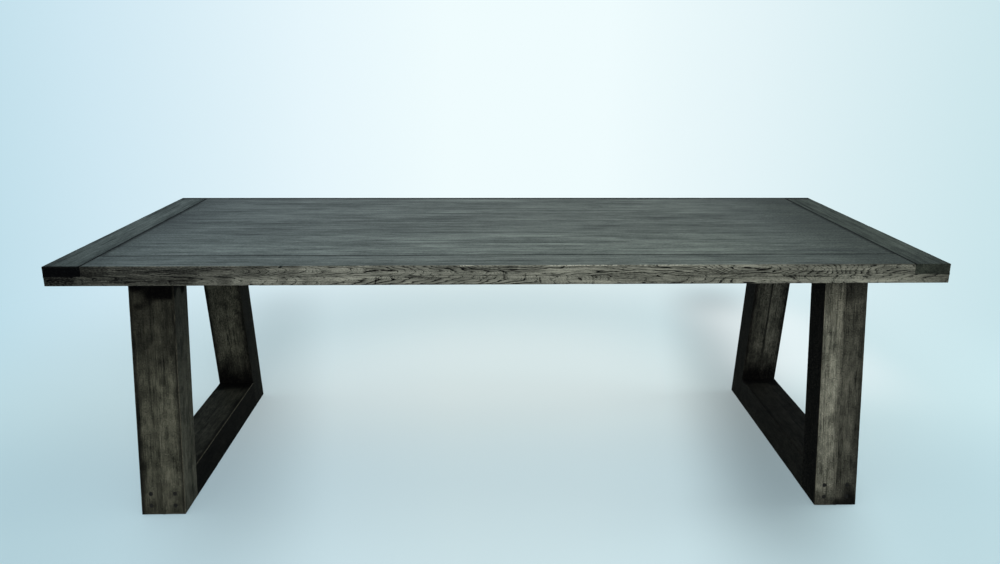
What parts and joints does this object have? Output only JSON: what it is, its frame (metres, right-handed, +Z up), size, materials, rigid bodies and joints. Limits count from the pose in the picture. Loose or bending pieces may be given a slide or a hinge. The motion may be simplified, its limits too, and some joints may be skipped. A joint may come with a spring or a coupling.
{
  "type": "trestle table",
  "caption": "Long dining table: planked top with breadboard ends and a built-up edge, on trapezoid trestle frames whose legs splay towards the floor.",
  "frame": {"origin": "on the floor, under the middle of the tabletop", "axes": "+X along the table's length, +Y from the front edge to the back, +Z up"},
  "size_m": [2.35, 1, 0.76],
  "materials": {
    "top_oak": "weathered grey stain, satin",
    "edging_oak": "weathered grey stain, open grain",
    "frame_oak": "dark charcoal stain, satin, open grain",
    "plug_oak": "dark charcoal stain, end plugs",
    "batten_oak": "grey stain, plain",
    "peg_oak": "bare wood",
    "fixing_steel": "zinc plated",
    "pad_felt": "pressed felt"
  },
  "bodies": {
    "root": {"batten_left_frame": "batten_oak", "batten_left_middle": "batten_oak", "batten_right_frame": "batten_oak", "batten_right_middle": "batten_oak", "breadboard_left": "top_oak", "breadboard_pegs_left": "peg_oak", "breadboard_pegs_right": "peg_oak", "breadboard_right": "top_oak", "edging_front": "edging_oak", "edging_left": "edging_oak", "edging_rear": "edging_oak", "edging_right": "edging_oak", "left_bottom_rail": "frame_oak", "left_frame_bolts": "fixing_steel", "left_frame_inserts": "fixing_steel", "left_frame_washers": "fixing_steel", "left_front_foot_pad": "pad_felt", "left_front_leg_inner": "frame_oak", "left_front_leg_outer": "frame_oak", "left_front_leg_plugs": "plug_oak", "left_front_leg_screws": "fixing_steel", "left_rear_foot_pad": "pad_felt", "left_rear_leg_inner": "frame_oak", "left_rear_leg_outer": "frame_oak", "left_rear_leg_plugs": "plug_oak", "left_rear_leg_screws": "fixing_steel", "left_top_rail": "frame_oak", "right_bottom_rail": "frame_oak", "right_frame_bolts": "fixing_steel", "right_frame_inserts": "fixing_steel", "right_frame_washers": "fixing_steel", "right_front_foot_pad": "pad_felt", "right_front_leg_inner": "frame_oak", "right_front_leg_outer": "frame_oak", "right_front_leg_plugs": "plug_oak", "right_front_leg_screws": "fixing_steel", "right_rear_foot_pad": "pad_felt", "right_rear_leg_inner": "frame_oak", "right_rear_leg_outer": "frame_oak", "right_rear_leg_plugs": "plug_oak", "right_rear_leg_screws": "fixing_steel", "right_top_rail": "frame_oak", "top_plank_1": "top_oak", "top_plank_2": "top_oak", "top_plank_3": "top_oak", "top_plank_4": "top_oak", "top_plank_5": "top_oak", "top_plank_6": "top_oak", "top_plank_7": "top_oak"}
  },
  "joints": []
}
